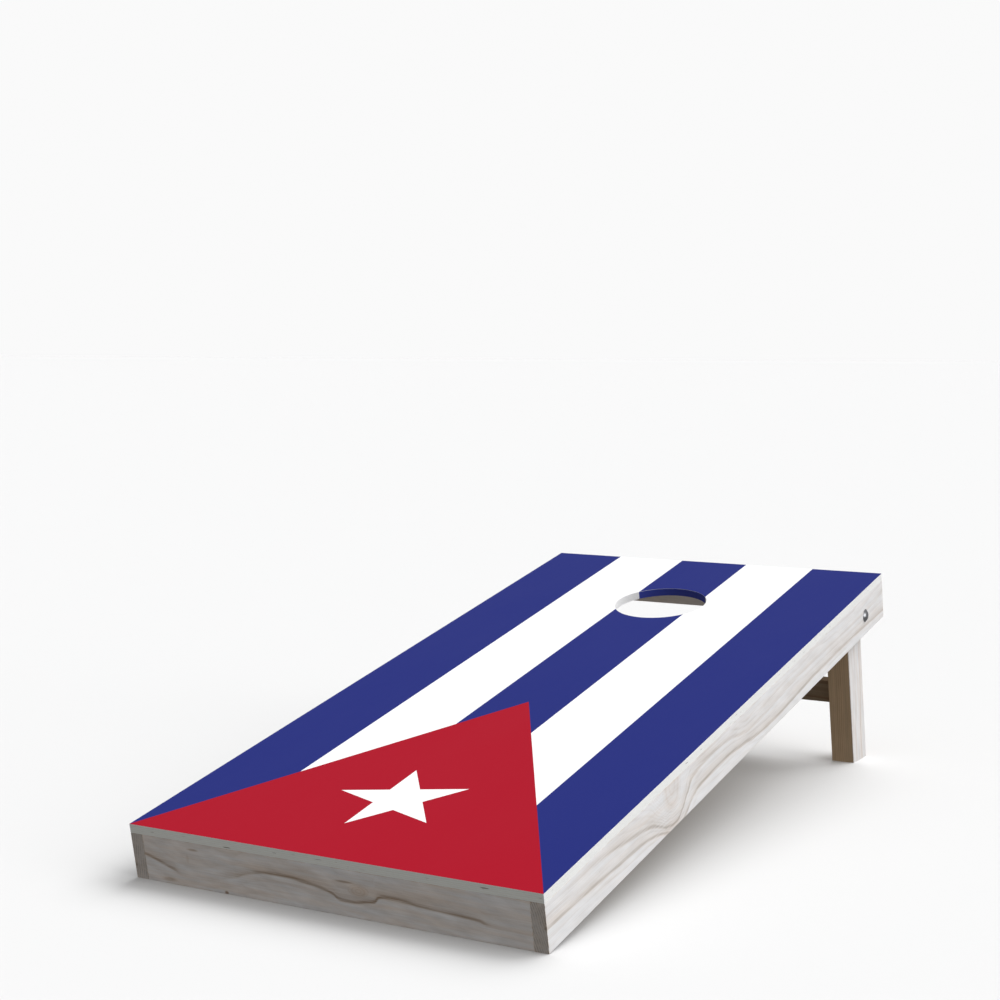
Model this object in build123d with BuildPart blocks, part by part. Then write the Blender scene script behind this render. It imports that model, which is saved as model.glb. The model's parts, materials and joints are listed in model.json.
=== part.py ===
from build123d import *
import os
from math import asin, atan2, cos, hypot, radians, sin, tan

# A cornhole board in its playing position: a plywood deck on a pine frame, standing on the frame's front
# corners and on two folding legs at the back. X is across the board, +Y points from its front to its back and
# +Z is up from the floor. The origin is on the floor, below the middle of the whole board.
#
# Sizes are in millimetres. "Forward" counts along the deck from the frame's front face, and "height" counts
# square to the deck from the frame's underside.

inch = 25.4
fit_gap = 0.05  # round a screw, bolt or ring that is held fast in its hole

# Deck and printed film
deck_width = 24 * inch
deck_length = 48 * inch
deck_thickness = 12.0
film_thickness = 0.3
hole_diameter = 6 * inch
hole_from_back = 9 * inch
back_height = 12.375 * inch  # from the floor to the deck's top back edge

# Frame, planed 1x3 pine
rail_thickness = 0.75 * inch
rail_height = 2.5 * inch
rail_edge_radius = 0.8

# Legs, 2x3 pine planed a little narrower, so that they fold clear of the deck, with a 1x2 brace
leg_thickness = 1.5 * inch
leg_width = 62.3
leg_edge_radius = 1.2
pivot_from_back = 3.625 * inch
stop_relief_run = 6.0  # from above the pivot to where the leg's flat stop face starts
brace_thickness = 0.75 * inch
brace_height = 1.5 * inch
brace_below_pivot = 137.0

# Pivot hardware: 3/8 in carriage bolts, flat washers and nylon insert lock nuts
bolt_radius = 0.1875 * inch
bolt_length = 3 * inch
bolt_head_radius = 10.7
bolt_head_height = 4.9
bolt_tip_chamfer = 1.0
bolt_neck_width = 0.375 * inch
bolt_neck_depth = 5.6
pivot_bore_gap = 0.08  # running fit of the leg on its bolt
pivot_play = 0.1  # between the leg and the washer on each side of it
washer_radius = 11.1
washer_bore_radius = 5.2
washer_thickness = 1.6
nut_across_flats = 0.5625 * inch
nut_hex_height = 8.4
nut_collar_radius = 6.7
nut_collar_height = 3.2
nut_chamfer = 0.7
insert_radius = 5.9
insert_height = 2.6

# Screws
screw_radius = 2.1
screw_tip_length = 6.0
screw_tip_radius = 0.4
deck_screw_length = 1.5 * inch
deck_screw_head_radius = 4.1
deck_screw_head_height = 2.3
deck_screw_sink_angle = 82
deck_screw_end_margin = 50.0
deck_screws_per_side = 6
deck_screw_spacing_across = 190.0
pocket_screw_length = 1.25 * inch
pocket_screw_head_radius = 4.3
pocket_screw_head_height = 2.2
pocket_screw_drive_width = 2.8
pocket_screw_drive_depth = 1.4
pocket_radius = 4.8
pocket_angle = 15
pocket_run = 42.0  # from the screw's seat back to beyond the pocket's mouth
pocket_seat = 14.0  # from the screw's seat to the end of the piece it is driven through
frame_screw_spacing = 28.0
brace_screw_spacing = 20.0

# Worked out from the above
deck_underside = rail_height
deck_top = rail_height + deck_thickness
board_height = deck_top + film_thickness
slope = asin(back_height / hypot(deck_length, board_height)) - atan2(board_height, deck_length)
front_y = (board_height * sin(slope) - deck_length * cos(slope)) / 2
hole_forward = deck_length - hole_from_back
pivot_forward = deck_length - pivot_from_back
pivot_height = rail_height / 2
brace_middle = pivot_height - brace_below_pivot
side_x = deck_width / 2
rail_inner_x = side_x - rail_thickness
leg_outer_x = rail_inner_x - washer_thickness - pivot_play
leg_inner_x = leg_outer_x - leg_thickness
nut_washer_x = leg_inner_x - pivot_play
nut_x = nut_washer_x - washer_thickness
collar_x = nut_x - nut_hex_height
sides = ((-1, "left"), (1, "right"))

# Directions along the deck and square to it, and the plane of the frame's underside
deck_forward = Vector(0, cos(slope), sin(slope))
deck_up = Vector(0, -sin(slope), cos(slope))
frame_plane = Plane(origin=(0, front_y, 0), x_dir=(1, 0, 0), z_dir=deck_up)
deck_top_plane = frame_plane.offset(deck_top)


def side_plane(x):
    """Plane across the board at x: its X runs forward along the deck and its Y is height."""
    return Plane(origin=frame_plane.from_local_coords((x, 0, 0)), x_dir=deck_forward, z_dir=(1, 0, 0))


def bolt_plane(side):
    """Plane through a pivot bolt's axis: its X points out of the board and its Y is height."""
    middle = frame_plane.from_local_coords((0, pivot_forward, pivot_height))
    return Plane(origin=middle, x_dir=(side, 0, 0), z_dir=deck_forward * -side)


def floor_at(forward):
    """Height of the floor below a point of the deck."""
    return -forward * tan(slope)


def pocket_planes(side, joint_x, forward, heights, opening):
    """Planes of the pocket screws at one end of a cross piece: each has its origin under the screw's head and
    its Z along the screw. The pocket opens to the piece's back when opening is 1, and to its front when -1."""
    across = cos(radians(pocket_angle))
    slant = sin(radians(pocket_angle))
    planes = []
    for height in heights:
        seat = (side * (joint_x - pocket_seat * across), forward + opening * pocket_seat * slant, height)
        planes.append(
            Plane(
                origin=frame_plane.from_local_coords(seat),
                x_dir=deck_up,
                z_dir=Vector(side * across, 0, 0) - deck_forward * (opening * slant),
            )
        )
    return planes


def both_ends(joint_x, forward, heights, opening):
    """Pocket planes at both ends of a cross piece."""
    return [
        plane
        for side, hand in sides
        for plane in pocket_planes(side, joint_x, forward, heights, opening)
    ]


def cut_pockets(planes):
    """Pockets and their screw clearance holes, cut from a cross piece."""
    with BuildSketch(*planes) as pocket:
        Circle(pocket_radius)
    extrude(pocket.sketch, amount=-pocket_run, mode=Mode.SUBTRACT)
    with BuildSketch(*planes) as clearance_hole:
        Circle(screw_radius + fit_gap)
    extrude(clearance_hole.sketch, amount=2 * pocket_seat, mode=Mode.SUBTRACT)


def cut_pilots(planes):
    """Holes for pocket screws, cut from the piece that they are driven into."""
    with BuildSketch(*planes) as pilot:
        Circle(screw_radius + fit_gap)
    extrude(pilot.sketch, amount=pocket_screw_length + fit_gap, mode=Mode.SUBTRACT)


def cut_deck_screw_holes(places):
    """Holes for deck screws, cut from a rail."""
    with BuildSketch(frame_plane.offset(deck_underside)) as pilot:
        with Locations(*places):
            Circle(screw_radius + fit_gap)
    extrude(pilot.sketch, amount=-(deck_screw_length - deck_thickness + fit_gap), mode=Mode.SUBTRACT)


def shank(length):
    """A screw's shank and point, from each current location along its Z."""
    Cylinder(screw_radius, length - screw_tip_length, align=(Align.CENTER, Align.CENTER, Align.MIN))
    with Locations((0, 0, length - screw_tip_length)):
        Cone(screw_radius, screw_tip_radius, screw_tip_length, align=(Align.CENTER, Align.CENTER, Align.MIN))


def pocket_screws(planes):
    """Washer-head screws with a square drive, seated in their pockets."""
    with Locations(*planes):
        Cylinder(
            pocket_screw_head_radius,
            pocket_screw_head_height,
            align=(Align.CENTER, Align.CENTER, Align.MAX),
        )
        shank(pocket_screw_length)
        with Locations((0, 0, -pocket_screw_head_height)):
            Box(
                pocket_screw_drive_width,
                pocket_screw_drive_width,
                pocket_screw_drive_depth,
                align=(Align.CENTER, Align.CENTER, Align.MIN),
                mode=Mode.SUBTRACT,
            )


def save(piece, name):
    """Label a finished piece and write its STEP file."""
    piece.part.label = name
    export_step(piece.part, f"parts/{name}.step")


os.makedirs("parts", exist_ok=True)

# Where the screws go
rail_middle_x = side_x - rail_thickness / 2
side_step = (deck_length - 2 * deck_screw_end_margin) / (deck_screws_per_side - 1)
side_screw_places = {
    side: [
        (side * rail_middle_x, deck_screw_end_margin + i * side_step) for i in range(deck_screws_per_side)
    ]
    for side, hand in sides
}
cross_pieces = (
    ("front_rail", rail_thickness / 2, 1),
    ("centre_support", deck_length / 2, 1),
    ("back_rail", deck_length - rail_thickness / 2, -1),
)
cross_screw_places = {
    name: [(i * deck_screw_spacing_across, forward) for i in (-1, 0, 1)]
    for name, forward, opening in cross_pieces
}
deck_screw_places = side_screw_places[-1] + side_screw_places[1]
for name in cross_screw_places:
    deck_screw_places = deck_screw_places + cross_screw_places[name]
frame_screw_heights = (pivot_height - frame_screw_spacing / 2, pivot_height + frame_screw_spacing / 2)
brace_screw_heights = (brace_middle - brace_screw_spacing / 2, brace_middle + brace_screw_spacing / 2)

# Deck
with BuildPart() as deck:
    with BuildSketch(frame_plane.offset(deck_underside)):
        with Locations((0, deck_length / 2)):
            Rectangle(deck_width, deck_length)
        with Locations((0, hole_forward)):
            Circle(hole_diameter / 2, mode=Mode.SUBTRACT)
    extrude(amount=deck_thickness)
    with Locations(deck_top_plane):
        with Locations(*deck_screw_places):
            CounterSinkHole(
                radius=screw_radius + fit_gap,
                counter_sink_radius=deck_screw_head_radius + fit_gap,
                counter_sink_angle=deck_screw_sink_angle,
            )
save(deck, "deck")

# Printed film, cut flush with the deck and its hole
with BuildPart() as graphic_film:
    with BuildSketch(deck_top_plane):
        with Locations((0, deck_length / 2)):
            Rectangle(deck_width, deck_length)
        with Locations((0, hole_forward)):
            Circle(hole_diameter / 2, mode=Mode.SUBTRACT)
    extrude(amount=film_thickness)
save(graphic_film, "graphic_film")

# Side rails, full length, with the bolt's hole and the square socket for its neck
for side, hand in sides:
    with BuildPart() as side_rail:
        with BuildSketch(frame_plane):
            with Locations((side * rail_middle_x, deck_length / 2)):
                Rectangle(rail_thickness, deck_length)
        extrude(amount=rail_height)
        fillet(side_rail.edges().filter_by(Axis((0, 0, 0), deck_forward)), rail_edge_radius)
        with BuildSketch(side_plane(side * side_x)):
            with Locations((pivot_forward, pivot_height)):
                Circle(bolt_radius + fit_gap)
        extrude(amount=-side * rail_thickness, mode=Mode.SUBTRACT)
        with BuildSketch(side_plane(side * side_x)):
            with Locations((pivot_forward, pivot_height)):
                Rectangle(bolt_neck_width + 2 * fit_gap, bolt_neck_width + 2 * fit_gap)
        extrude(amount=-side * (bolt_neck_depth + fit_gap), mode=Mode.SUBTRACT)
        cut_deck_screw_holes(side_screw_places[side])
        for name, forward, opening in cross_pieces:
            cut_pilots(pocket_planes(side, rail_inner_x, forward, frame_screw_heights, opening))
    save(side_rail, f"side_rail_{hand}")

# Front rail, centre support and back rail, between the side rails
for name, forward, opening in cross_pieces:
    with BuildPart() as cross_rail:
        with BuildSketch(frame_plane):
            with Locations((0, forward)):
                Rectangle(2 * rail_inner_x, rail_thickness)
        extrude(amount=rail_height)
        fillet(cross_rail.edges().filter_by(Axis.X), rail_edge_radius)
        cut_deck_screw_holes(cross_screw_places[name])
        cut_pockets(both_ends(rail_inner_x, forward, frame_screw_heights, opening))
    save(cross_rail, name)

# Legs: the square back corner of the top bears on the deck when the leg is out, and the front corner is round
# about the pivot, so that the leg can fold towards the front
leg_front = pivot_forward - leg_width / 2
leg_back = pivot_forward + leg_width / 2
leg_round_top = pivot_height + leg_width / 2
for side, hand in sides:
    with BuildPart() as leg:
        with BuildSketch(side_plane(side * leg_inner_x)):
            with BuildLine():
                CenterArc((pivot_forward, pivot_height), leg_width / 2, 90, 90)
                Polyline(
                    (leg_front, pivot_height),
                    (leg_front, floor_at(leg_front)),
                    (leg_back, floor_at(leg_back)),
                    (leg_back, deck_underside),
                    (pivot_forward + stop_relief_run, deck_underside),
                    (pivot_forward, leg_round_top),
                )
            make_face()
        extrude(amount=side * leg_thickness)
        fillet(leg.edges().filter_by(Axis((0, 0, 0), deck_up)), leg_edge_radius)
        with BuildSketch(side_plane(side * leg_inner_x)):
            with Locations((pivot_forward, pivot_height)):
                Circle(bolt_radius + pivot_bore_gap)
        extrude(amount=side * leg_thickness, mode=Mode.SUBTRACT)
        cut_pilots(pocket_planes(side, leg_inner_x, pivot_forward, brace_screw_heights, 1))
    save(leg, f"leg_{hand}")

# Brace between the legs
with BuildPart() as leg_brace:
    with BuildSketch(side_plane(-leg_inner_x)):
        with Locations((pivot_forward, brace_middle)):
            Rectangle(brace_thickness, brace_height)
    extrude(amount=2 * leg_inner_x)
    fillet(leg_brace.edges().filter_by(Axis.X), rail_edge_radius)
    cut_pockets(both_ends(leg_inner_x, pivot_forward, brace_screw_heights, 1))
save(leg_brace, "leg_brace")

# Carriage bolts: domed head outside the side rail, square neck in its socket
for side, hand in sides:
    with BuildPart() as pivot_bolt:
        with BuildSketch(bolt_plane(side)):
            with BuildLine():
                TangentArc((side_x + bolt_head_height, 0), (side_x, bolt_head_radius), tangent=(0, 1))
                Polyline(
                    (side_x, bolt_head_radius),
                    (side_x, bolt_radius),
                    (side_x - bolt_length + bolt_tip_chamfer, bolt_radius),
                    (side_x - bolt_length, bolt_radius - bolt_tip_chamfer),
                    (side_x - bolt_length, 0),
                    (side_x + bolt_head_height, 0),
                )
            make_face()
        revolve(axis=Axis(bolt_plane(side).origin, (side, 0, 0)))
        with BuildSketch(side_plane(side * side_x)):
            with Locations((pivot_forward, pivot_height)):
                Rectangle(bolt_neck_width, bolt_neck_width)
        extrude(amount=-side * bolt_neck_depth)
    save(pivot_bolt, f"pivot_bolt_{hand}")

# Washers, one between rail and leg and one under the nut
for side, hand in sides:
    for name, outer_x in (("spacer_washer", rail_inner_x), ("nut_washer", nut_washer_x)):
        with BuildPart() as washer:
            with BuildSketch(side_plane(side * outer_x)):
                with Locations((pivot_forward, pivot_height)):
                    Circle(washer_radius)
                    Circle(washer_bore_radius, mode=Mode.SUBTRACT)
            extrude(amount=-side * washer_thickness)
        save(washer, f"{name}_{hand}")

# Lock nuts and the nylon rings in their collars
for side, hand in sides:
    with BuildPart() as lock_nut:
        with BuildSketch(side_plane(side * nut_x)):
            with Locations((pivot_forward, pivot_height)):
                RegularPolygon(nut_across_flats / 2, 6, major_radius=False)
        extrude(amount=-side * nut_hex_height)
        outline = lock_nut.faces().filter_by(Axis.X).edges()
        chamfer(outline, nut_chamfer)
        with BuildSketch(side_plane(side * collar_x)):
            with Locations((pivot_forward, pivot_height)):
                Circle(nut_collar_radius)
        extrude(amount=-side * nut_collar_height)
        with BuildSketch(side_plane(side * nut_x)):
            with Locations((pivot_forward, pivot_height)):
                Circle(bolt_radius + fit_gap)
        extrude(amount=-side * (nut_hex_height + nut_collar_height), mode=Mode.SUBTRACT)
        with BuildSketch(side_plane(side * collar_x)):
            with Locations((pivot_forward, pivot_height)):
                Circle(insert_radius + fit_gap)
        extrude(amount=-side * nut_collar_height, mode=Mode.SUBTRACT)
    save(lock_nut, f"lock_nut_{hand}")
    with BuildPart() as lock_insert:
        with BuildSketch(side_plane(side * collar_x)):
            with Locations((pivot_forward, pivot_height)):
                Circle(insert_radius)
                Circle(bolt_radius + fit_gap, mode=Mode.SUBTRACT)
        extrude(amount=-side * insert_height)
    save(lock_insert, f"lock_insert_{hand}")

# Deck screws, countersunk flush under the film
with BuildPart() as deck_screws:
    with Locations(Plane(deck_top_plane.origin, deck_top_plane.x_dir, -deck_top_plane.z_dir)):
        with Locations(*[(x, -forward, 0) for x, forward in deck_screw_places]):
            Cone(
                deck_screw_head_radius,
                screw_radius,
                deck_screw_head_height,
                align=(Align.CENTER, Align.CENTER, Align.MIN),
            )
            shank(deck_screw_length)
save(deck_screws, "deck_screws")

# Frame screws, through the cross pieces into the side rails
with BuildPart() as frame_screws:
    for name, forward, opening in cross_pieces:
        pocket_screws(both_ends(rail_inner_x, forward, frame_screw_heights, opening))
save(frame_screws, "frame_screws")

# Brace screws, into the legs
with BuildPart() as brace_screws:
    pocket_screws(both_ends(leg_inner_x, pivot_forward, brace_screw_heights, 1))
save(brace_screws, "brace_screws")
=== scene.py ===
import json
import math

import bmesh
import bpy
from mathutils import Matrix, Vector


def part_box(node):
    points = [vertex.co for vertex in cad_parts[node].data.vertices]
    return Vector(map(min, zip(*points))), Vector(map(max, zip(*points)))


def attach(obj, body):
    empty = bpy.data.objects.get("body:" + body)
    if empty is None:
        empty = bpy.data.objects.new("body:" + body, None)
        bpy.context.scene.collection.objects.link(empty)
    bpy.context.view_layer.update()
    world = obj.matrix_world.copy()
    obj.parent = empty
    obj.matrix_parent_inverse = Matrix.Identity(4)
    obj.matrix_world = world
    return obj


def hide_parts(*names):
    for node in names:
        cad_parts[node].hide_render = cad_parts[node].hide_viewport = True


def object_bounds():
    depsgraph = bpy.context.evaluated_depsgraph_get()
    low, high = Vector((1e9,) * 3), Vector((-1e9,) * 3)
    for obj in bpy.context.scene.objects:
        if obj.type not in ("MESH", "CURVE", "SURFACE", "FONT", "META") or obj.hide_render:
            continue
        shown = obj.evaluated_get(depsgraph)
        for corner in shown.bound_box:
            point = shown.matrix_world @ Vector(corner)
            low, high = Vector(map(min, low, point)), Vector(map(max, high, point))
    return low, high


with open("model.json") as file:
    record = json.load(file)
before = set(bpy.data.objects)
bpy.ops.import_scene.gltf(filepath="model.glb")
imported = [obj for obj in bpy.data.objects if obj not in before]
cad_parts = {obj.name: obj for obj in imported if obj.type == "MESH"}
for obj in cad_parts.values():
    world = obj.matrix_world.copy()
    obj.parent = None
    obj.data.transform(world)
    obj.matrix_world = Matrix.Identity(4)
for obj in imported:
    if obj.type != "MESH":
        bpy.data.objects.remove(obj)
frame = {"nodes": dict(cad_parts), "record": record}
cad_low, cad_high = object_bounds()

# The board's own frame: X across, Y forward along the deck from the frame's front face, Z square to the deck
# from the frame's underside. Materials work in it, in millimetres.
MM = 1000.0
ACROSS, FORWARD, HEIGHT = 0, 1, 2
deck_up = Vector(next(m["axis"] for m in frame["record"]["mounts"] if m["name"] == "deck_face"))
slope = math.atan2(-deck_up.y, deck_up.z)
level = Matrix.Rotation(-slope, 4, "X")
rail_points = [level @ v.co for v in frame["nodes"]["side_rail_left"].data.vertices]
front_bottom = Vector((0, min(p.y for p in rail_points), min(p.z for p in rail_points)))
to_board = Matrix.Translation(-front_bottom) @ level


def board_box(node):
    """A CAD node's lowest and highest corner in the board's frame, in millimetres."""
    points = [to_board @ v.co * MM for v in frame["nodes"][node].data.vertices]
    corner = [[point[axis] for point in points] for axis in range(3)]
    return [min(values) for values in corner], [max(values) for values in corner]


deck_low, deck_high = board_box("deck")
deck_width = deck_high[ACROSS] - deck_low[ACROSS]
deck_length = deck_high[FORWARD]
bag_hole = next(m for m in frame["record"]["mounts"] if m["name"] == "bag_hole")
hole_radius = bag_hole["dims"]["r_mm"]
hole_forward = (to_board @ Vector(bag_hole["pos_m"]) * MM)[FORWARD]


# ---------------------------------------------------------------- camera and stage
BACKDROP = 0.955  # what the camera sees behind the floor
LIGHT_BELOW = 0.184  # what lights the board, from under the horizon and from over it
LIGHT_ABOVE = 0.33
HORIZON_BLEND = 0.3
FLOOR_HALF = 150
FLOOR_PAINT = (0.730, 0.730, 0.731)


def grey(level):
    return (level, level, level, 1)


def make_camera():
    """Looks down the board from its front right, a little above it."""
    turn, dip, roll = math.radians(29.73), math.radians(4.65), math.radians(0.17)
    distance = 2.735
    middle = (cad_low + cad_high) / 2
    aim = Vector((middle.x - 0.087, middle.y - 0.021, 0.464))
    look = Vector((-math.sin(turn) * math.cos(dip), math.cos(turn) * math.cos(dip), -math.sin(dip)))
    level_right = Vector((math.cos(turn), math.sin(turn), 0))
    level_up = level_right.cross(look)
    right = level_right * math.cos(roll) + level_up * math.sin(roll)
    up = level_up * math.cos(roll) - level_right * math.sin(roll)
    camera = bpy.data.objects.new("camera", bpy.data.cameras.new("camera"))
    camera.data.lens = 65.84
    camera.data.sensor_width = 36
    facing = Matrix((right, up, -look)).transposed().to_4x4()
    camera.matrix_world = Matrix.Translation(aim - look * distance) @ facing
    bpy.context.scene.collection.objects.link(camera)
    bpy.context.scene.camera = camera


def sun(name, towards, strength, spread, gloss=True):
    """A soft, distant studio light that stands in the direction given. Without gloss it leaves no highlights,
    and so no veil on the film."""
    light = bpy.data.lights.new(name, "SUN")
    light.energy = strength
    light.angle = math.radians(spread)
    lamp = bpy.data.objects.new(name, light)
    lamp.rotation_mode = "QUATERNION"
    lamp.rotation_quaternion = Vector(towards).to_track_quat("Z", "Y")
    lamp.visible_glossy = gloss
    bpy.context.scene.collection.objects.link(lamp)


def make_world():
    """A plain pale backdrop to look at, and a dimmer one to light the board by, darker from below."""
    world = bpy.data.worlds.new("studio")
    bpy.context.scene.world = world
    world.use_nodes = True
    nt = world.node_tree
    direction = nt.nodes.new("ShaderNodeSeparateXYZ")
    nt.links.new(nt.nodes.new("ShaderNodeTexCoord").outputs["Generated"], direction.inputs[0])
    height = nt.nodes.new("ShaderNodeMapRange")
    height.inputs["From Min"].default_value = -HORIZON_BLEND
    height.inputs["From Max"].default_value = HORIZON_BLEND
    nt.links.new(direction.outputs["Z"], height.inputs["Value"])
    light = nt.nodes.new("ShaderNodeMix")
    light.data_type = "RGBA"
    light.inputs["A"].default_value = grey(LIGHT_BELOW)
    light.inputs["B"].default_value = grey(LIGHT_ABOVE)
    nt.links.new(height.outputs["Result"], light.inputs["Factor"])
    seen = nt.nodes.new("ShaderNodeMix")
    seen.data_type = "RGBA"
    seen.inputs["B"].default_value = grey(BACKDROP)
    nt.links.new(light.outputs["Result"], seen.inputs["A"])
    nt.links.new(nt.nodes.new("ShaderNodeLightPath").outputs["Is Camera Ray"], seen.inputs["Factor"])
    nt.links.new(seen.outputs["Result"], nt.nodes["Background"].inputs["Color"])


def make_floor():
    """A wide pale floor. It bounces no light, so that the board's shaded faces stay dark."""
    mesh = bpy.data.meshes.new("floor")
    corners = [(x * FLOOR_HALF, y * FLOOR_HALF, 0) for x, y in ((-1, -1), (1, -1), (1, 1), (-1, 1))]
    mesh.from_pydata(corners, [], [(0, 1, 2, 3)])
    floor = bpy.data.objects.new("floor", mesh)
    floor.visible_diffuse = False
    floor.visible_glossy = False
    bpy.context.scene.collection.objects.link(floor)
    paint = bpy.data.materials.new("floor_paint")
    paint.use_nodes = True
    shader = paint.node_tree.nodes["Principled BSDF"]
    shader.inputs["Base Color"].default_value = (*FLOOR_PAINT, 1)
    shader.inputs["Roughness"].default_value = 1
    shader.inputs["Specular IOR Level"].default_value = 0
    mesh.materials.append(paint)


# ---------------------------------------------------------------- shading helpers
class Value:
    """A node's output that can be used in a sum: each operation adds a Math node."""

    def __init__(self, shade, socket):
        self.shade = shade
        self.socket = socket

    def __add__(self, other):
        return self.shade.math("ADD", self, other)

    def __sub__(self, other):
        return self.shade.math("SUBTRACT", self, other)

    def __rsub__(self, other):
        return self.shade.math("SUBTRACT", other, self)

    def __mul__(self, other):
        return self.shade.math("MULTIPLY", self, other)

    def __truediv__(self, other):
        return self.shade.math("DIVIDE", self, other)

    def __abs__(self):
        return self.shade.math("ABSOLUTE", self)

    __radd__ = __add__
    __rmul__ = __mul__


class Shade:
    """A material and its nodes, written as sums of Values."""

    def __init__(self, name):
        self.material = bpy.data.materials.new(name)
        self.material.use_nodes = True
        self.tree = self.material.node_tree
        self.shader = self.tree.nodes["Principled BSDF"]
        self.point = self.from_board("Object", "POINT", -front_bottom * MM, MM)
        self.facing = self.from_board("Normal", "VECTOR", (0, 0, 0), 1)

    def put(self, socket, value):
        """Link a Value to a socket, or set the socket to a number or a colour."""
        if isinstance(value, Value):
            self.tree.links.new(value.socket, socket)
        elif isinstance(value, tuple) and socket.type == "RGBA":
            socket.default_value = (*value, 1)
        else:
            socket.default_value = value

    def node(self, kind, inputs, output=0, **settings):
        node = self.tree.nodes.new("ShaderNode" + kind)
        for key, value in settings.items():
            setattr(node, key, value)
        for key, value in inputs.items():
            self.put(node.inputs[key], value)
        return Value(self, node.outputs[output])

    def from_board(self, coordinate, kind, location, scale):
        """Three Values: a texture coordinate turned into the board's frame."""
        source = self.node("TexCoord", {}, output=coordinate)
        turned = self.node("Mapping", {"Vector": source, "Rotation": (-slope, 0, 0)}, vector_type=kind)
        mapping = turned.socket.node
        mapping.inputs["Scale"].default_value = (scale, scale, scale)
        if kind == "POINT":
            mapping.inputs["Location"].default_value = location
        return [self.node("SeparateXYZ", {"Vector": turned}, output=axis) for axis in "XYZ"]

    def math(self, operation, *values):
        return self.node("Math", dict(enumerate(values)), operation=operation)

    def step(self, value, start, end):
        """0 at start and 1 at end, with a smooth rise between. start may be the larger."""
        inputs = {"Value": value, "From Min": start, "From Max": end}
        return self.node("MapRange", inputs, interpolation_type="SMOOTHSTEP")

    def hump(self, value, half_width):
        """1 where the value is 0, falling smoothly to 0 at half_width either way."""
        return self.step(abs(value), half_width, 0.0)

    def vector(self, x, y, z):
        return self.node("CombineXYZ", {0: x, 1: y, 2: z})

    def length(self, x, y):
        return self.node("VectorMath", {"Vector": self.vector(x, y, 0.0)}, output="Value", operation="LENGTH")

    def noise(self, vector, detail=2.0):
        """Noise from 0 to 1, about one lump for each unit of the vector."""
        return self.node("TexNoise", {"Vector": vector, "Scale": 1.0, "Detail": detail})

    def mix(self, factor, first, second):
        """The first colour where the factor is 0, and the second where it is 1."""
        inputs = {0: factor, 6: first, 7: second}
        return self.node("Mix", inputs, output=2, data_type="RGBA", clamp_factor=True)

    def scaled(self, colour, value):
        return self.node("VectorMath", {"Vector": colour, "Scale": value}, operation="SCALE")

    def curve(self, value, points):
        """A smooth line through points (place, height)."""
        start, end = points[0][0], points[-1][0]
        low = min(height for place, height in points) - 1.0
        high = max(height for place, height in points) + 1.0
        node = self.tree.nodes.new("ShaderNodeFloatCurve")
        line = node.mapping.curves[0]
        for place, height in points[1:-1]:
            line.points.new((place - start) / (end - start), (height - low) / (high - low))
        line.points[0].location = (0, (points[0][1] - low) / (high - low))
        line.points[-1].location = (1, (points[-1][1] - low) / (high - low))
        node.mapping.update()
        self.put(node.inputs["Value"], (value - start) / (end - start))
        return Value(self, node.outputs[0]) * (high - low) + low

    def bump(self, height, distance, strength=1.0):
        """Raise the surface by distance, in metres, where height is 1."""
        inputs = {"Height": height, "Distance": distance, "Strength": strength}
        self.put(self.shader.inputs["Normal"], self.node("Bump", inputs))

    def finish(self, colour, roughness, **constants):
        """Link the colour and the roughness, and set the shader's plain numbers on its own sockets."""
        self.put(self.shader.inputs["Base Color"], colour)
        self.put(self.shader.inputs["Roughness"], roughness)
        for name, number in constants.items():
            self.shader.inputs[name.replace("_", " ").replace("Ior", "IOR")].default_value = number
        return self.material


# ---------------------------------------------------------------- printed film
PRINT_BLUE = (0.0178, 0.0265, 0.185)
PRINT_RED = (0.386, 0.0062, 0.0205)
# The blue on the hole's wall is painted lighter than the deck's: painted light, to offset the shade that
# falls on the wall.
WALL_BLUE_PAINTED_LIGHTER = (0.03, 0.045, 0.30)
PRINT_WHITE = (0.93, 0.93, 0.935)
STRIPES = 5
STAR_RADIUS = 0.149  # of the deck's width
STAR_POINTS = 5


def print_colour(s, blue=PRINT_BLUE):
    """Five stripes, a triangle as wide as the board, and a five-pointed star, all from the deck's width."""
    across, forward = s.point[ACROSS], s.point[FORWARD]
    stripe = s.math("FLOOR", (across + deck_width / 2) / (deck_width / STRIPES))
    white = s.math("MODULO", stripe, 2.0)
    colour = s.mix(white, blue, PRINT_WHITE)
    triangle = s.math("LESS_THAN", abs(across) + forward / math.sqrt(3), deck_width / 2)
    colour = s.mix(triangle, colour, PRINT_RED)

    star_middle = deck_width * math.sqrt(3) / 6
    turn = math.tau / STAR_POINTS
    edge = STAR_RADIUS * deck_width * math.cos(turn)
    sides_passed = 0.0
    for i in range(STAR_POINTS):
        angle = math.pi + turn * i
        reach = across * math.cos(angle) + (forward - star_middle) * math.sin(angle)
        sides_passed = s.math("LESS_THAN", reach, edge) + sides_passed
    star = s.math("GREATER_THAN", sides_passed, STAR_POINTS - 1.5)
    return s.mix(star, colour, PRINT_WHITE)


def printed_film():
    """Satin laminate: a faint orange peel, and a white edge where the film is cut."""
    s = Shade("printed_film")
    cut = s.step(abs(s.facing[HEIGHT]), 0.7, 0.5)
    colour = s.mix(cut, print_colour(s), PRINT_WHITE)
    across, forward, height = s.point
    peel = s.noise(s.vector(across / 1.6, forward / 1.6, height), detail=1.0)
    smear = s.noise(s.vector(across / 90, forward / 210, height), detail=3.0)
    s.bump(peel, 0.00002)
    return s.finish(colour, 0.38 + smear * 0.12, Specular_Ior_Level=0.05)


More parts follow.
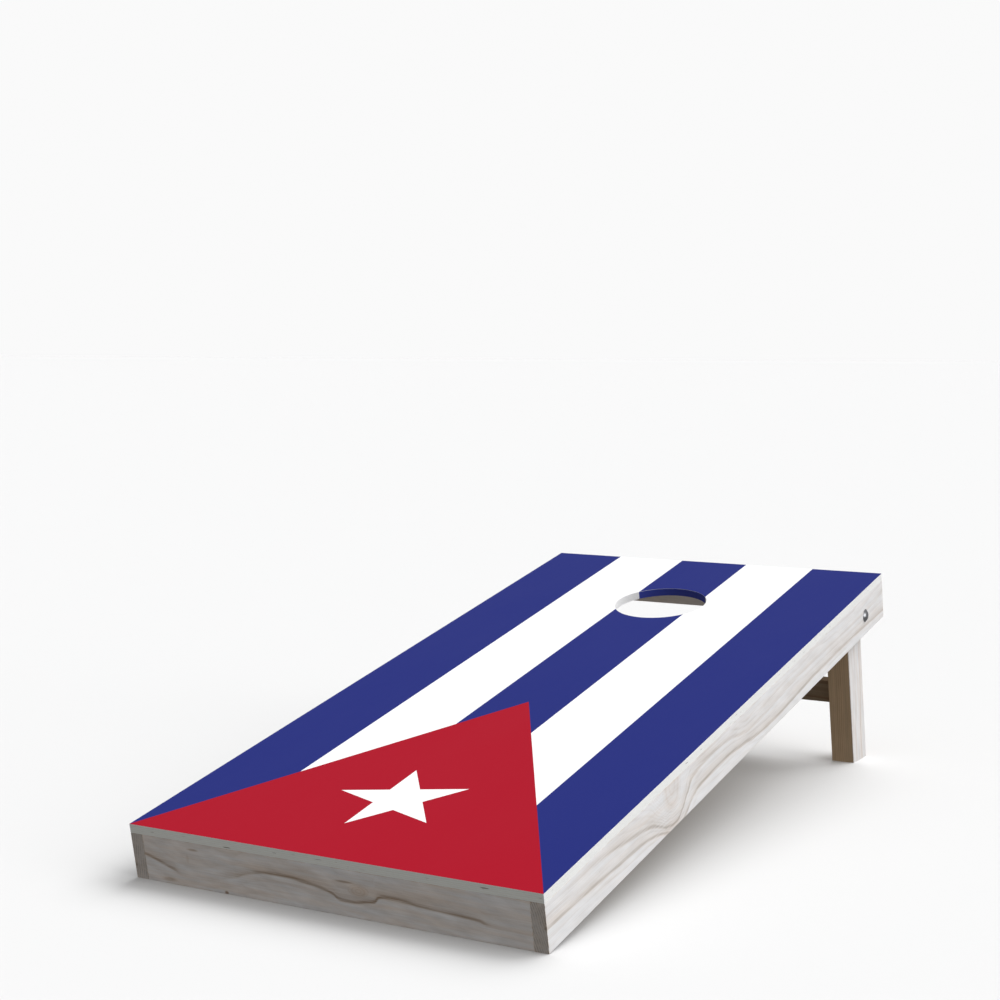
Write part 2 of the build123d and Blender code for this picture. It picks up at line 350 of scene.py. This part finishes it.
# ---------------------------------------------------------------- wood
WASH = (0.91, 0.913, 0.93)
WARM_WASH = (0.90, 0.83, 0.785)
EARLY_WOOD = (0.62, 0.445, 0.28)
LATE_WOOD = (0.40, 0.24, 0.13)
DARK_GRAIN = (0.24, 0.14, 0.075)
KNOT_WOOD = (0.56, 0.38, 0.24)
GREY_GRAIN = (0.32, 0.28, 0.25)
LONG_PLY = (0.97, 0.98, 0.93)
CROSS_PLY = (0.90, 0.90, 0.83)
WASHED_PLY = (0.97, 0.97, 0.98)
PLY_GAP = (0.16, 0.11, 0.07)
EARLY_VENEER = (0.70, 0.55, 0.37)
LATE_VENEER = (0.56, 0.39, 0.23)
PLIES = 9
FRONT_GAPS = ((-148.0, 2.0), (227.0, 7.0))  # across, and up from the deck's underside
WOOD_SHINE = 0.3


class Plank:
    """A piece of pine, and where a point on it lies: along the grain, across the wide face, and deep from the
    face that is seen."""

    def __init__(self, node, grain, face, front, seed):
        self.s = Shade(node + "_pine")
        self.low, self.high = board_box(node)
        thick = 3 - grain - face
        self.along, self.across = self.s.point[grain], self.s.point[face]
        self.depth = abs(self.s.point[thick] - (self.high if front > 0 else self.low)[thick])
        self.end = self.s.step(abs(self.s.facing[grain]), 0.6, 0.8)
        self.shift = 37.0 * seed
        self.wander = self.fibres(140, 30, 1.0) - 0.5

    def fibres(self, length, width, detail=2.0):
        """Noise drawn out along the grain. Its cells are slanted, so that no seam runs across the grain."""
        u, v = (self.across + self.shift) / width, self.depth / width
        slant = (self.along + self.shift) / length + u * 0.53 + v * 0.37
        return self.s.noise(self.s.vector(slant, u, v), detail)

    def reach(self, place, line, half_length, half_width):
        """1 on an ellipse about a place on the wide face, and 0 at its middle."""
        return self.s.length((self.along - place) / half_length, (self.across - line) / half_width)

    def arris(self):
        """Distance to the nearest edge of the piece's box, in millimetres: the middle one of the three
        distances to its faces."""
        gaps = []
        for axis in range(3):
            middle, half = (self.low[axis] + self.high[axis]) / 2, (self.high[axis] - self.low[axis]) / 2
            gaps.append(half - abs(self.s.point[axis] - middle))
        smaller = self.s.math("MINIMUM", gaps[0], gaps[1])
        larger = self.s.math("MAXIMUM", gaps[0], gaps[1])
        return self.s.math("MAXIMUM", smaller, self.s.math("MINIMUM", larger, gaps[2]))


def late_wood(plank, upper_line, lower_line, rings, ring_shade):
    """The rings between the two growth lines and beyond them: each darkens slowly and ends sharply."""
    s = plank.s
    between = (upper_line - plank.across) / (upper_line - lower_line)
    turn = s.math("FRACT", between * rings + plank.depth / 3.3 + plank.wander * 1.3)
    late = s.step(turn, 0.3, 0.9) * s.step(turn, 1.0, 0.93)
    return late * (s.step(plank.fibres(260, 11), 0.35, 0.65) * 0.75 + 0.25) * ring_shade


def growth_line(s, offset, width):
    """A ring that stands out: a dark core that fades upwards and ends sharply below."""
    core = s.step(offset, width * 1.6, 0.0) * s.step(offset, -width * 0.7, 0.0)
    halo = s.step(offset, width * 5.0, 0.0) * s.step(offset, -width * 0.9, 0.0)
    return s.math("MAXIMUM", core * 0.9, halo * 0.42)


def dark_lines(plank, upper_line, lower_line, width, strength, second, ragged):
    """The two growth lines, broken up along the grain."""
    s = plank.s
    broken = s.step(plank.fibres(46, 2.2, 3.0), 0.3, 0.55) * 0.45 + 0.55
    first = growth_line(s, plank.across - upper_line + ragged, width) * broken
    first = first * s.math("MAXIMUM", s.curve(plank.along, strength), 0.0)
    other = growth_line(s, plank.across - lower_line + ragged, width * 0.8) * broken * second
    return s.math("MAXIMUM", first, other)


def add_knot(plank, late, dark, inside, place, line, half_length, half_width, rim):
    """Close rings inside the knot, a broken dark rim, and the straight rings faded out round it."""
    s = plank.s
    reach = plank.reach(place, line, half_length, half_width) + plank.wander * 0.4
    inside = s.math("MAXIMUM", s.step(reach, 1.0, 0.7), inside)
    late = late * s.step(reach, 0.7, 1.2)
    late = late + s.step(s.math("FRACT", reach * 3.0), 0.5, 1.0) * s.step(reach, 1.1, 0.9) * 0.35
    broken = s.step(plank.fibres(30, 9), 0.4, 0.6)
    dark = s.math("MAXIMUM", dark, s.hump(reach - 1.0, 0.22) * broken * rim)
    return late, dark, inside


def pine(
    node, grain, face, front, upper, lower, strength, cover, wash_depth=None, second=0.0, rings=3,
    ring_shade=0.8, line_width=2.4, ring_colour=LATE_WOOD, line_colour=DARK_GRAIN, warm=1.0, tone=1.0,
    knots=(), marks=(), mottle=0.24, seed=0,
):
    """Flat-sawn pine with a thin white wash.

    grain and face are the axes along the grain and across the wide face, and front is 1 or -1 for the side
    that is seen. upper and lower are two growth lines on that face, as points (along, across); the other
    rings run between and beyond them. strength is how dark the upper line is along the grain, second how dark
    the lower one is, and ring_shade how dark the others are. cover is how much the wash hides, wash_depth how
    far in from the front it goes, and warm how much of it is tinted. tone lightens or darkens the bare wood,
    and mottle is how much the brightness drifts. knots are (along, across, half length, half width, darkness
    of the rim), and marks the same, but dark all over."""
    plank = Plank(node, grain, face, front, seed)
    s, fibres, end = plank.s, plank.fibres, plank.end

    upper_line = s.curve(plank.along, upper)
    lower_line = s.curve(plank.along, lower)
    late = late_wood(plank, upper_line, lower_line, rings, ring_shade)
    ragged = (fibres(24, 5) - 0.5) * 2.4
    dark = dark_lines(plank, upper_line, lower_line, line_width, strength, second, ragged)
    inside = 0.0
    for knot in knots:
        late, dark, inside = add_knot(plank, late, dark, inside, *knot)
    for *ellipse, shade in marks:
        reach = plank.reach(*ellipse) + ragged * 0.12
        dark = s.math("MAXIMUM", dark, s.step(reach, 1.1, 0.3) * shade)
    near_front = s.step(plank.depth, 7.0, 1.0)
    dark = dark * near_front

    # Bare wood
    fine = fibres(42, 0.8, 3.0)
    streak = fibres(190, 6)
    pores = s.step(fibres(9, 0.45, 1.0), 0.72, 0.8)
    wood = s.mix(late, EARLY_WOOD, ring_colour)
    wood = s.mix(inside * 0.5, wood, KNOT_WOOD)
    wood = s.scaled(wood, (0.60 + fine * 0.40 + streak * 0.46 - pores * 0.25) * tone)
    wood = s.mix(dark * 0.9, wood, line_colour)

    # The wash: thinner on hard dark grain and rubbed through on the edges
    brush = fibres(75, 1.7, 3.0)
    patch = fibres(60, 24, 3.0)
    worn = s.step(plank.arris(), 1.5, 0.2) * s.step(fibres(16, 5, 3.0), 0.42, 0.62)
    hidden = cover - late * 0.3 - dark * 0.74 - inside * 0.2 - pores * 0.3 - worn * 0.35 - end * 0.38
    hidden = hidden + (brush - 0.5) * 0.34 + (patch - 0.5) * 0.26
    if wash_depth is not None:
        hidden = hidden * s.step(plank.depth + (patch - 0.5) * 3.0, wash_depth, wash_depth * 0.3)
    hidden = s.math("MINIMUM", s.math("MAXIMUM", hidden, 0.0), 0.97)
    warmth = s.step(fibres(110, 16), 0.35, 0.7) * warm
    wash = s.scaled(s.mix(warmth, WASH, WARM_WASH), 0.97 + (brush - 0.5) * 0.1)
    colour = s.mix(hidden, wood, wash)
    colour = s.scaled(colour, 1.0 + (fibres(34, 13, 3.0) - 0.5) * mottle)

    # End grain soaks up the wash and looks darker
    x, y, z = s.point
    speckle = s.noise(s.vector(x / 0.5, y / 0.5, z / 0.5))
    colour = s.scaled(colour, 1.0 - end * (0.1 + late * 0.35 + speckle * 0.25))

    s.bump(fine * 0.45 + late * 0.5 + brush * 0.35 - dark * 0.3 - pores * 0.6, 0.00025, 0.7)
    return s.finish(colour, 0.52 + fine * 0.16 + late * 0.08 + end * 0.15, Specular_Ior_Level=WOOD_SHINE)


def ply_edge(s, long_fibre, end_fibre):
    """Long-grain and cross-grain plies by turns, with a glue line between, and gaps in the inner ones. Gives
    the colour, the glue and the gaps."""
    across, forward, height = s.point
    up = height - deck_low[HEIGHT]
    thickness = deck_high[HEIGHT] - deck_low[HEIGHT]
    waver = (s.noise(s.vector(across / 70, forward / 70, height / 3)) - 0.5) * 0.35
    ply = up / (thickness / PLIES) + waver
    cross_ply = s.math("MODULO", s.math("FLOOR", ply), 2.0)
    within = s.math("FRACT", ply)
    glue = s.math("MAXIMUM", s.step(within, 0.12, 0.0), s.step(within, 0.9, 1.0))
    glue = glue * s.step(s.noise(s.vector(across / 40, forward / 40, height / 2)), 0.3, 0.6)
    edge = s.mix(cross_ply, LONG_PLY, CROSS_PLY)
    edge = s.scaled(edge, 0.9 + long_fibre * 0.14 + end_fibre * cross_ply * 0.08 - glue * 0.16)

    core = s.hump(ply - 4.4, 3.4)
    gap = s.step(s.noise(s.vector(across / 17, forward / 17, height / 1.4), 1.0), 0.70, 0.74) * core
    on_front = s.step(forward, 2.0, 1.0)
    for place, rise in FRONT_GAPS:
        reach = s.length((across - place) / 7, (up - rise) / 0.9)
        gap = s.math("MAXIMUM", gap, s.step(reach, 1.1, 0.5) * on_front)
    on_side = s.step(abs(across), deck_high[ACROSS] - 2, deck_high[ACROSS] - 1)
    edge = s.mix(on_side * 0.7, edge, WASHED_PLY)
    return s.mix(gap * 0.7, edge, PLY_GAP), glue, gap


def birch_veneer(s):
    """The bare underside, with a wide, faint figure."""
    across, forward, height = s.point
    bend = s.noise(s.vector(across / 80, forward / 420, 0.0)) * 9.0
    band = s.math("FRACT", bend + across / 160)
    figure = s.step(band, 0.1, 0.85) * s.step(band, 1.0, 0.9)
    fibre = s.noise(s.vector(across / 0.9, forward / 35, 0.0), 3.0)
    flecks = s.step(s.noise(s.vector(across / 0.7, forward / 7, 0.0), 1.0), 0.66, 0.78)
    veneer = s.mix(figure * 0.55, EARLY_VENEER, LATE_VENEER)
    return s.scaled(veneer, 0.84 + fibre * 0.32 - flecks * 0.16)


def plywood():
    """Nine-ply birch: washed edges with their plies, a bare veneer below, and ink carried into the hole."""
    s = Shade("plywood")
    across, forward, height = s.point
    long_fibre = s.noise(s.vector(across / 22, forward / 22, height / 0.25), 3.0)
    end_fibre = s.noise(s.vector(across / 0.7, forward / 0.7, height / 0.5))
    edge, glue, gap = ply_edge(s, long_fibre, end_fibre)
    flat = s.step(abs(s.facing[HEIGHT]), 0.6, 0.8)
    colour = s.mix(flat, edge, birch_veneer(s))

    from_hole = s.length(across, forward - hole_forward)
    wall = s.step(from_hole, hole_radius + 1.0, hole_radius + 0.5) * (1.0 - flat)
    # Print colours on the hole's wall, with the blue painted lighter there as painted light against the
    # wall's shade.
    ink = s.scaled(print_colour(s, WALL_BLUE_PAINTED_LIGHTER), 0.86 + end_fibre * 0.2)
    colour = s.mix(wall, colour, ink)
    s.bump(long_fibre * 0.4 + end_fibre * 0.4 - glue * 0.5 - gap, 0.0003, 0.7)
    return s.finish(colour, 0.55 + long_fibre * 0.2, Specular_Ior_Level=WOOD_SHINE)


# ---------------------------------------------------------------- metal and nylon
def plated(name, colour, shade_colour, roughness):
    """Zinc plate: a fine crystal mottle, and faint scratches from handling."""
    s = Shade(name)
    x, y, z = s.point
    mottle = s.noise(s.vector(x / 1.3, y / 1.3, z / 1.3), 3.0)
    scratch = s.step(s.noise(s.vector(x / 0.3, y / 5, z / 0.3), 2.0), 0.6, 0.72)
    tint = s.mix(mottle, colour, shade_colour)
    s.bump(mottle * 0.6 - scratch * 0.5, 0.00004)
    return s.finish(tint, roughness + mottle * 0.16 + scratch * 0.1, Metallic=1.0)


def nylon():
    s = Shade("nylon")
    x, y, z = s.point
    grain = s.noise(s.vector(x / 0.8, y / 0.8, z / 0.8), 3.0)
    tint = s.mix(grain, (0.86, 0.87, 0.88), (0.70, 0.72, 0.76))
    s.bump(grain, 0.00004)
    return s.finish(tint, 0.36 + grain * 0.16)


# ---------------------------------------------------------------- pivot bolts
THREAD_PITCH = 25.4 / 16
THREAD_TURNS = 17
THREAD_STEPS = 40  # round each turn
THREAD_PROFILE = (0.0, 0.0, 0.5, 1.0, 1.0, 0.5)  # root to crest and back, over one pitch
NECK_WIDTH = 0.375 * 25.4
NECK_DEPTH = 5.6
SHANK_RADIUS = 0.1875 * 25.4
SHANK_LENGTH = 40  # from the neck to well inside the thread
DOME_RINGS = 12
SHARP_EDGE = 50


def ring(mesh, x, points):
    """A loop of vertices at x, from (y, z) points."""
    return [mesh.verts.new((x, y, z)) for y, z in points]


def circle(radius, count=48):
    turn = math.tau / count
    return [(radius * math.cos(i * turn), radius * math.sin(i * turn)) for i in range(count)]


def rounded_square(width, corner, count=48):
    """A square with rounded corners, as points spaced evenly in angle."""
    points = []
    for y, z in circle(1.0, count):
        reach = (abs(y) ** corner + abs(z) ** corner) ** (-1 / corner)
        points.append((y * reach * width / 2, z * reach * width / 2))
    return points


def skin(mesh, loops):
    """Faces between each loop and the next, and a cap at both ends."""
    for first, second in zip(loops, loops[1:]):
        for i in range(len(first)):
            j = (i + 1) % len(first)
            mesh.faces.new((first[i], first[j], second[j], second[i]))
    mesh.faces.new(loops[0])
    mesh.faces.new(list(reversed(loops[-1])))


def bolt_head(mesh, radius, height):
    """A dome with a rolled rim, then the square neck, then the plain shank. X points out of the board."""
    dome = (height * height + radius * radius) / (2 * height)
    loops = []
    for i in range(1, DOME_RINGS + 1):
        reach = radius * 0.965 * i / DOME_RINGS
        rise = height - (dome - math.sqrt(dome * dome - reach * reach))
        loops.append(ring(mesh, rise, circle(reach)))
    for share, rise in ((0.99, 0.42), (1.0, 0.22), (0.985, 0.0)):
        loops.append(ring(mesh, rise, circle(radius * share)))
    for x, corner in ((0.0, 9), (-NECK_DEPTH * 0.8, 9), (-NECK_DEPTH, 4)):
        loops.append(ring(mesh, x, rounded_square(NECK_WIDTH, corner)))
    for x in (-NECK_DEPTH - 0.6, -NECK_DEPTH - SHANK_LENGTH):
        loops.append(ring(mesh, x, circle(SHANK_RADIUS * 0.93)))
    skin(mesh, loops)


def bolt_thread(mesh, tip):
    """A rolled thread: each row of vertices is one helix, clamped where the thread starts and ends."""
    rows = len(THREAD_PROFILE)
    start = tip + THREAD_TURNS * THREAD_PITCH
    depth = THREAD_PITCH * 0.6
    grid = []
    for row in range(-rows, THREAD_TURNS * rows + 1):
        loop = []
        for i in range(THREAD_STEPS + 1):
            angle = math.tau * i / THREAD_STEPS
            x = tip + THREAD_PITCH * (row / rows + i / THREAD_STEPS)
            held = min(max(x, tip), start)
            fade = min((held - tip) / THREAD_PITCH, (start - held) / THREAD_PITCH, 1.0)
            crest = THREAD_PROFILE[row % rows] * (0.25 + 0.75 * fade)
            radius = SHANK_RADIUS - depth * (1 - crest)
            if x != held:
                radius = SHANK_RADIUS - depth
            loop.append(mesh.verts.new((held, radius * math.cos(angle), radius * math.sin(angle))))
        grid.append(loop)
    for first, second in zip(grid, grid[1:]):
        for i in range(THREAD_STEPS):
            mesh.faces.new((first[i], second[i], second[i + 1], first[i + 1]))
    mesh.faces.new([mesh.verts.new(v.co) for v in reversed(grid[0][:-1])])
    mesh.faces.new([mesh.verts.new(v.co) for v in grid[-1][:-1]])


def make_bolt(hand, side, material):
    """The pivot bolt, with the thread that the CAD solid leaves out."""
    node = f"pivot_bolt_{hand}"
    low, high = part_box(node)
    rail_low, rail_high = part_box(f"side_rail_{hand}")
    seat = max(abs(rail_low[0]), abs(rail_high[0])) * MM
    outer = max(abs(low[0]), abs(high[0])) * MM
    inner = min(abs(low[0]), abs(high[0])) * MM
    radius = (high[1] - low[1]) / 2 * MM
    shape = bmesh.new()
    bolt_head(shape, radius, outer - seat)
    bolt_thread(shape, inner - seat)
    bmesh.ops.remove_doubles(shape, verts=shape.verts, dist=0.0005)
    bmesh.ops.dissolve_degenerate(shape, edges=shape.edges, dist=0.0005)
    bmesh.ops.recalc_face_normals(shape, faces=shape.faces)
    for face in shape.faces:
        face.smooth = True
    middle = Vector((side * seat / MM, (low[1] + high[1]) / 2, (low[2] + high[2]) / 2))
    place = Matrix.Translation(middle) @ Matrix.Rotation(0 if side > 0 else math.pi, 4, "Z")
    bmesh.ops.transform(shape, matrix=place @ Matrix.Scale(1 / MM, 4), verts=shape.verts)
    mesh = bpy.data.meshes.new(f"carriage_bolt_{hand}")
    shape.to_mesh(mesh)
    shape.free()
    mesh.materials.append(material)
    bolt = bpy.data.objects.new(f"carriage_bolt_{hand}", mesh)
    bpy.context.scene.collection.objects.link(bolt)
    split = bolt.modifiers.new("sharp_edges", "EDGE_SPLIT")
    split.split_angle = math.radians(SHARP_EDGE)
    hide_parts(node)
    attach(bolt, "frame")


# ---------------------------------------------------------------- the wooden pieces
def paint_wood():
    """The growth lines of each piece, in the board's millimetres. Those of the front rail and the right side
    rail are the ones that are seen best."""
    length = deck_length
    nut_low, nut_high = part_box("lock_nut_left")
    pivot = to_board @ ((nut_low + nut_high) / 2) * MM
    # A dark ring round each bolt head, a little wider than the head: partly crushed fibres, partly painted
    # contact shade.
    bolt_seat_crush_and_shade = (pivot[FORWARD], pivot[HEIGHT], 12.8, 12.8, 0.3)
    woods = {
        "side_rail_right": pine(
            "side_rail_right", FORWARD, HEIGHT, 1, cover=0.96, rings=2, line_width=5.6, second=0.75, seed=1,
            ring_shade=0.5, ring_colour=GREY_GRAIN, line_colour=GREY_GRAIN, warm=0.2,
            upper=[
                (0, 57), (100, 54), (150, 51), (220, 41), (270, 33.5), (310, 18.5), (340, 7), (357, 5),
                (370, 9), (400, 31), (430, 46), (490, 49.5), (520, 48.5), (590, 36), (630, 32), (710, 34.5),
                (850, 41), (1000, 37), (length, 43),
            ],
            lower=[
                (0, 32), (20, 31), (110, 27.5), (190, 22.5), (250, 19.5), (290, 13.5), (330, 2), (357, -4),
                (385, 2), (420, 18.5), (450, 23.5), (510, 24.5), (590, 19.5), (690, 11.5), (900, 17),
                (length, 12),
            ],
            strength=[
                (0, 0), (120, 0.25), (200, 0.65), (330, 0.9), (450, 0.7), (560, 0.5), (720, 0.35),
                (length, 0.2),
            ],
            knots=[(352, 58, 30, 36, 0.0)],
            marks=[bolt_seat_crush_and_shade],
        ),
        "side_rail_left": pine(
            "side_rail_left", FORWARD, HEIGHT, -1, cover=0.96, rings=2, line_width=5.6, second=0.7, seed=2,
            ring_shade=0.5, ring_colour=GREY_GRAIN, line_colour=GREY_GRAIN, warm=0.2,
            upper=[
                (0, 44), (200, 50), (420, 38), (560, 22), (640, 12), (700, 20), (820, 38), (1000, 46),
                (length, 40),
            ],
            lower=[
                (0, 18), (200, 24), (420, 14), (560, 2), (640, -6), (700, -2), (820, 12), (1000, 20),
                (length, 16),
            ],
            strength=[(0, 0.1), (300, 0.4), (640, 0.7), (900, 0.3), (length, 0.2)],
            knots=[(644, 36, 17, 11, 0.5)],
            marks=[bolt_seat_crush_and_shade],
        ),
        "front_rail": pine(
            "front_rail", ACROSS, HEIGHT, -1, cover=0.82, rings=2, line_width=4.6, second=0.0, seed=3,
            ring_shade=0.34, mottle=0.5,
            upper=[
                (-286, 37), (-265, 30), (-240, 21.5), (-205, 14), (-165, 20.5), (-140, 26.5), (-115, 35.5),
                (-75, 39.5), (-35, 36.5), (-5, 31.5), (10, 26.5), (25, 20.5), (55, 23.5), (70, 26.5),
                (85, 34.5), (135, 31.5), (185, 28.5), (215, 26), (227, 22.5), (286, 19.5),
            ],
            lower=[(-286, 8), (-200, -14), (-75, 12), (25, -10), (85, 6), (200, 0), (286, -8)],
            strength=[
                (-286, 0.6), (-265, 0.9), (-242, 0.85), (-225, 0.1), (-185, 0.05), (-150, 0.4), (-110, 0.75),
                (-75, 0.85), (0, 0.95), (25, 1), (85, 1), (150, 0.8), (215, 0.75), (235, 0.45), (286, 0.15),
            ],
            knots=[(47, 37, 15, 9, 0.25)],
            marks=[
                (27, 46.5, 18, 2.2, 0.75), (-205, 53.5, 11, 2.2, 0.6), (-250, 6, 15, 3.5, 0.5),
                (-158, 2, 4, 3.2, 0.9), (-215, 40, 3, 8, 0.2),
            ],
        ),
        "back_rail": pine(
            "back_rail", ACROSS, HEIGHT, 1, cover=0.97, rings=3, second=0.3, seed=4,
            ring_shade=0.3, warm=0.1,
            upper=[(-286, 40), (-150, 48), (-20, 36), (60, 28), (160, 44), (286, 50)],
            lower=[(-286, 16), (-150, 20), (-20, 10), (60, 2), (160, 16), (286, 22)],
            strength=[(-286, 0.3), (-20, 0.6), (60, 0.6), (286, 0.2)],
        ),
        "centre_support": pine(
            "centre_support", ACROSS, HEIGHT, -1, cover=0.5, rings=3, second=0.3, seed=5,
            upper=[(-286, 30), (-120, 38), (40, 52), (170, 44), (286, 40)],
            lower=[(-286, 8), (-120, 14), (40, 28), (170, 18), (286, 12)],
            strength=[(-286, 0.5), (40, 0.5), (286, 0.3)],
            knots=[(-190, 46, 10, 7, 0.8)],
        ),
        # The brace's bare wood is darkened (tone 0.46) as painted shade, for where it sits back under the
        # deck.
        "leg_brace": pine(
            "leg_brace", ACROSS, HEIGHT, -1, cover=0.0, rings=2, tone=0.46, second=0.8, seed=6,
            upper=[(-250, -92), (-60, -96), (120, -90), (250, -94)],
            lower=[(-250, -118), (-60, -119), (120, -117), (250, -120)],
            strength=[(-250, 0.3), (0, 0.5), (250, 0.3)],
        ),
    }
    for side, hand in ((-1, "left"), (1, "right")):
        leg = f"leg_{hand}"
        low, high = board_box(leg)
        middle = (low[FORWARD] + high[FORWARD]) / 2
        woods[leg] = pine(
            leg, HEIGHT, FORWARD, side, cover=0.93, wash_depth=1.6, rings=2, second=0.3, seed=7 + side,
            ring_shade=0.5, warm=0.5,
            upper=[(-330, middle + 14), (-200, middle + 8), (-80, middle + 17), (110, middle + 12)],
            lower=[(-330, middle - 12), (-200, middle - 16), (-80, middle - 8), (110, middle - 14)],
            strength=[(-330, 0.3), (-120, 0.5), (110, 0.3)],
        )
    for node, material in woods.items():
        assign(node, material)


def assign(node, material):
    """Give a CAD node its finish, in place of the ones it came with."""
    slots = frame["nodes"][node].data.materials
    slots.clear()
    slots.append(material)


make_camera()
make_world()
sun("side", (0.997, 0.0, 0.07), 0.66, 36)
sun("back", (0.14, 0.6, 0.8), 2.3, 52, gloss=False)
sun("overhead", (0.95, 0.12, 1.0), 1.65, 56, gloss=False)
make_floor()
bpy.context.scene.view_settings.view_transform = "Standard"

assign("graphic_film", printed_film())
assign("deck", plywood())
paint_wood()
zinc_steel = plated("zinc_steel", (0.60, 0.61, 0.63), (0.40, 0.41, 0.44), 0.22)
screw_steel = plated("screw_steel", (0.66, 0.56, 0.34), (0.50, 0.42, 0.28), 0.3)
nylon_white = nylon()
for side, hand in ((-1, "left"), (1, "right")):
    make_bolt(hand, side, zinc_steel)
    for node in ("pivot_bolt", "spacer_washer", "nut_washer", "lock_nut"):
        assign(f"{node}_{hand}", zinc_steel)
    assign(f"lock_insert_{hand}", nylon_white)
for node in ("deck_screws", "frame_screws", "brace_screws"):
    assign(node, screw_steel)
